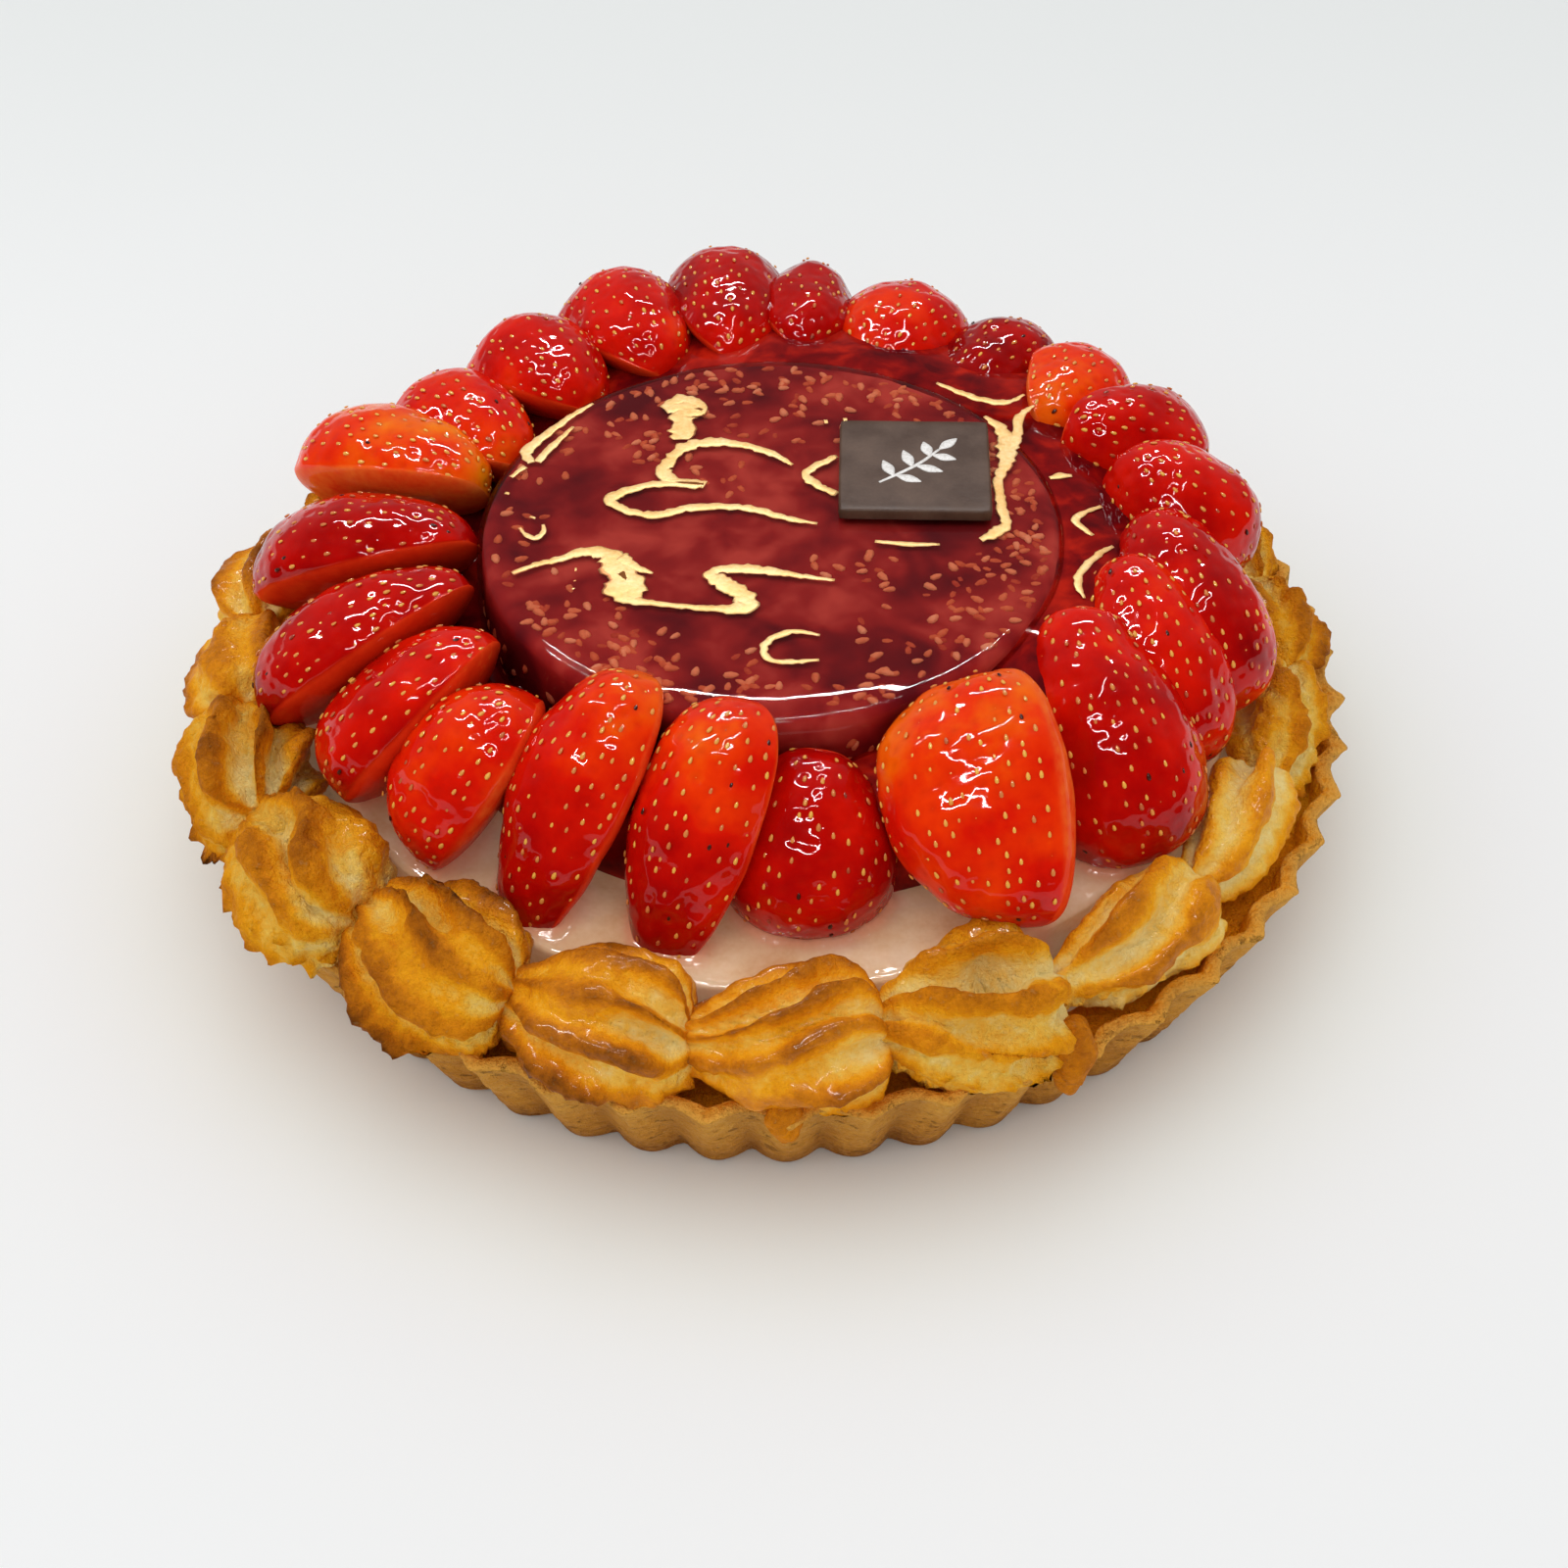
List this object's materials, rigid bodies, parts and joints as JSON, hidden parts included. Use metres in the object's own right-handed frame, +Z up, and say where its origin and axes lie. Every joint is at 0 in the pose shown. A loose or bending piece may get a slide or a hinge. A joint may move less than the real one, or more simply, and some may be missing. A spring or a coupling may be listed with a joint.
{
  "type": "strawberry and raspberry tart",
  "caption": "Round fluted tart with custard, a ring of piped choux shells, glazed strawberry halves and a raspberry jelly disc.",
  "frame": {"origin": "centre of the flat base, on the surface that the tart stands on", "axes": "+Z up along the disc's axis, -Y towards the side with the front shells, +X to that side's right"},
  "size_m": [0.1999, 0.1999, 0.0611],
  "materials": {
    "pastry": "dry baked shortcrust, mid brown, paler on edges",
    "choux": "baked choux pastry, golden with browned ridges",
    "custard": "pale custard under a thin clear glaze",
    "strawberry": "strawberry halves under a thick clear glaze",
    "jelly": "clear dark red raspberry jelly with pips",
    "chocolate": "satin dark chocolate"
  },
  "bodies": {
    "root": {"crust": "pastry", "custard": "custard", "jelly": "jelly", "plaque": "chocolate", "choux_01": "choux", "choux_02": "choux", "choux_03": "choux", "choux_04": "choux", "choux_05": "choux", "choux_06": "choux", "choux_07": "choux", "choux_08": "choux", "choux_09": "choux", "choux_10": "choux", "choux_11": "choux", "choux_12": "choux", "choux_13": "choux", "choux_14": "choux", "choux_15": "choux", "choux_16": "choux", "choux_17": "choux", "choux_18": "choux", "choux_19": "choux", "choux_20": "choux", "choux_21": "choux", "berry_01": "strawberry", "berry_02": "strawberry", "berry_03": "strawberry", "berry_04": "strawberry", "berry_05": "strawberry", "berry_06": "strawberry", "berry_07": "strawberry", "berry_08": "strawberry", "berry_09": "strawberry", "berry_10": "strawberry", "berry_11": "strawberry", "berry_12": "strawberry", "berry_13": "strawberry", "berry_14": "strawberry", "berry_15": "strawberry", "berry_16": "strawberry", "berry_17": "strawberry", "berry_18": "strawberry", "berry_19": "strawberry", "berry_20": "strawberry", "berry_21": "strawberry", "berry_22": "strawberry"}
  },
  "joints": []
}
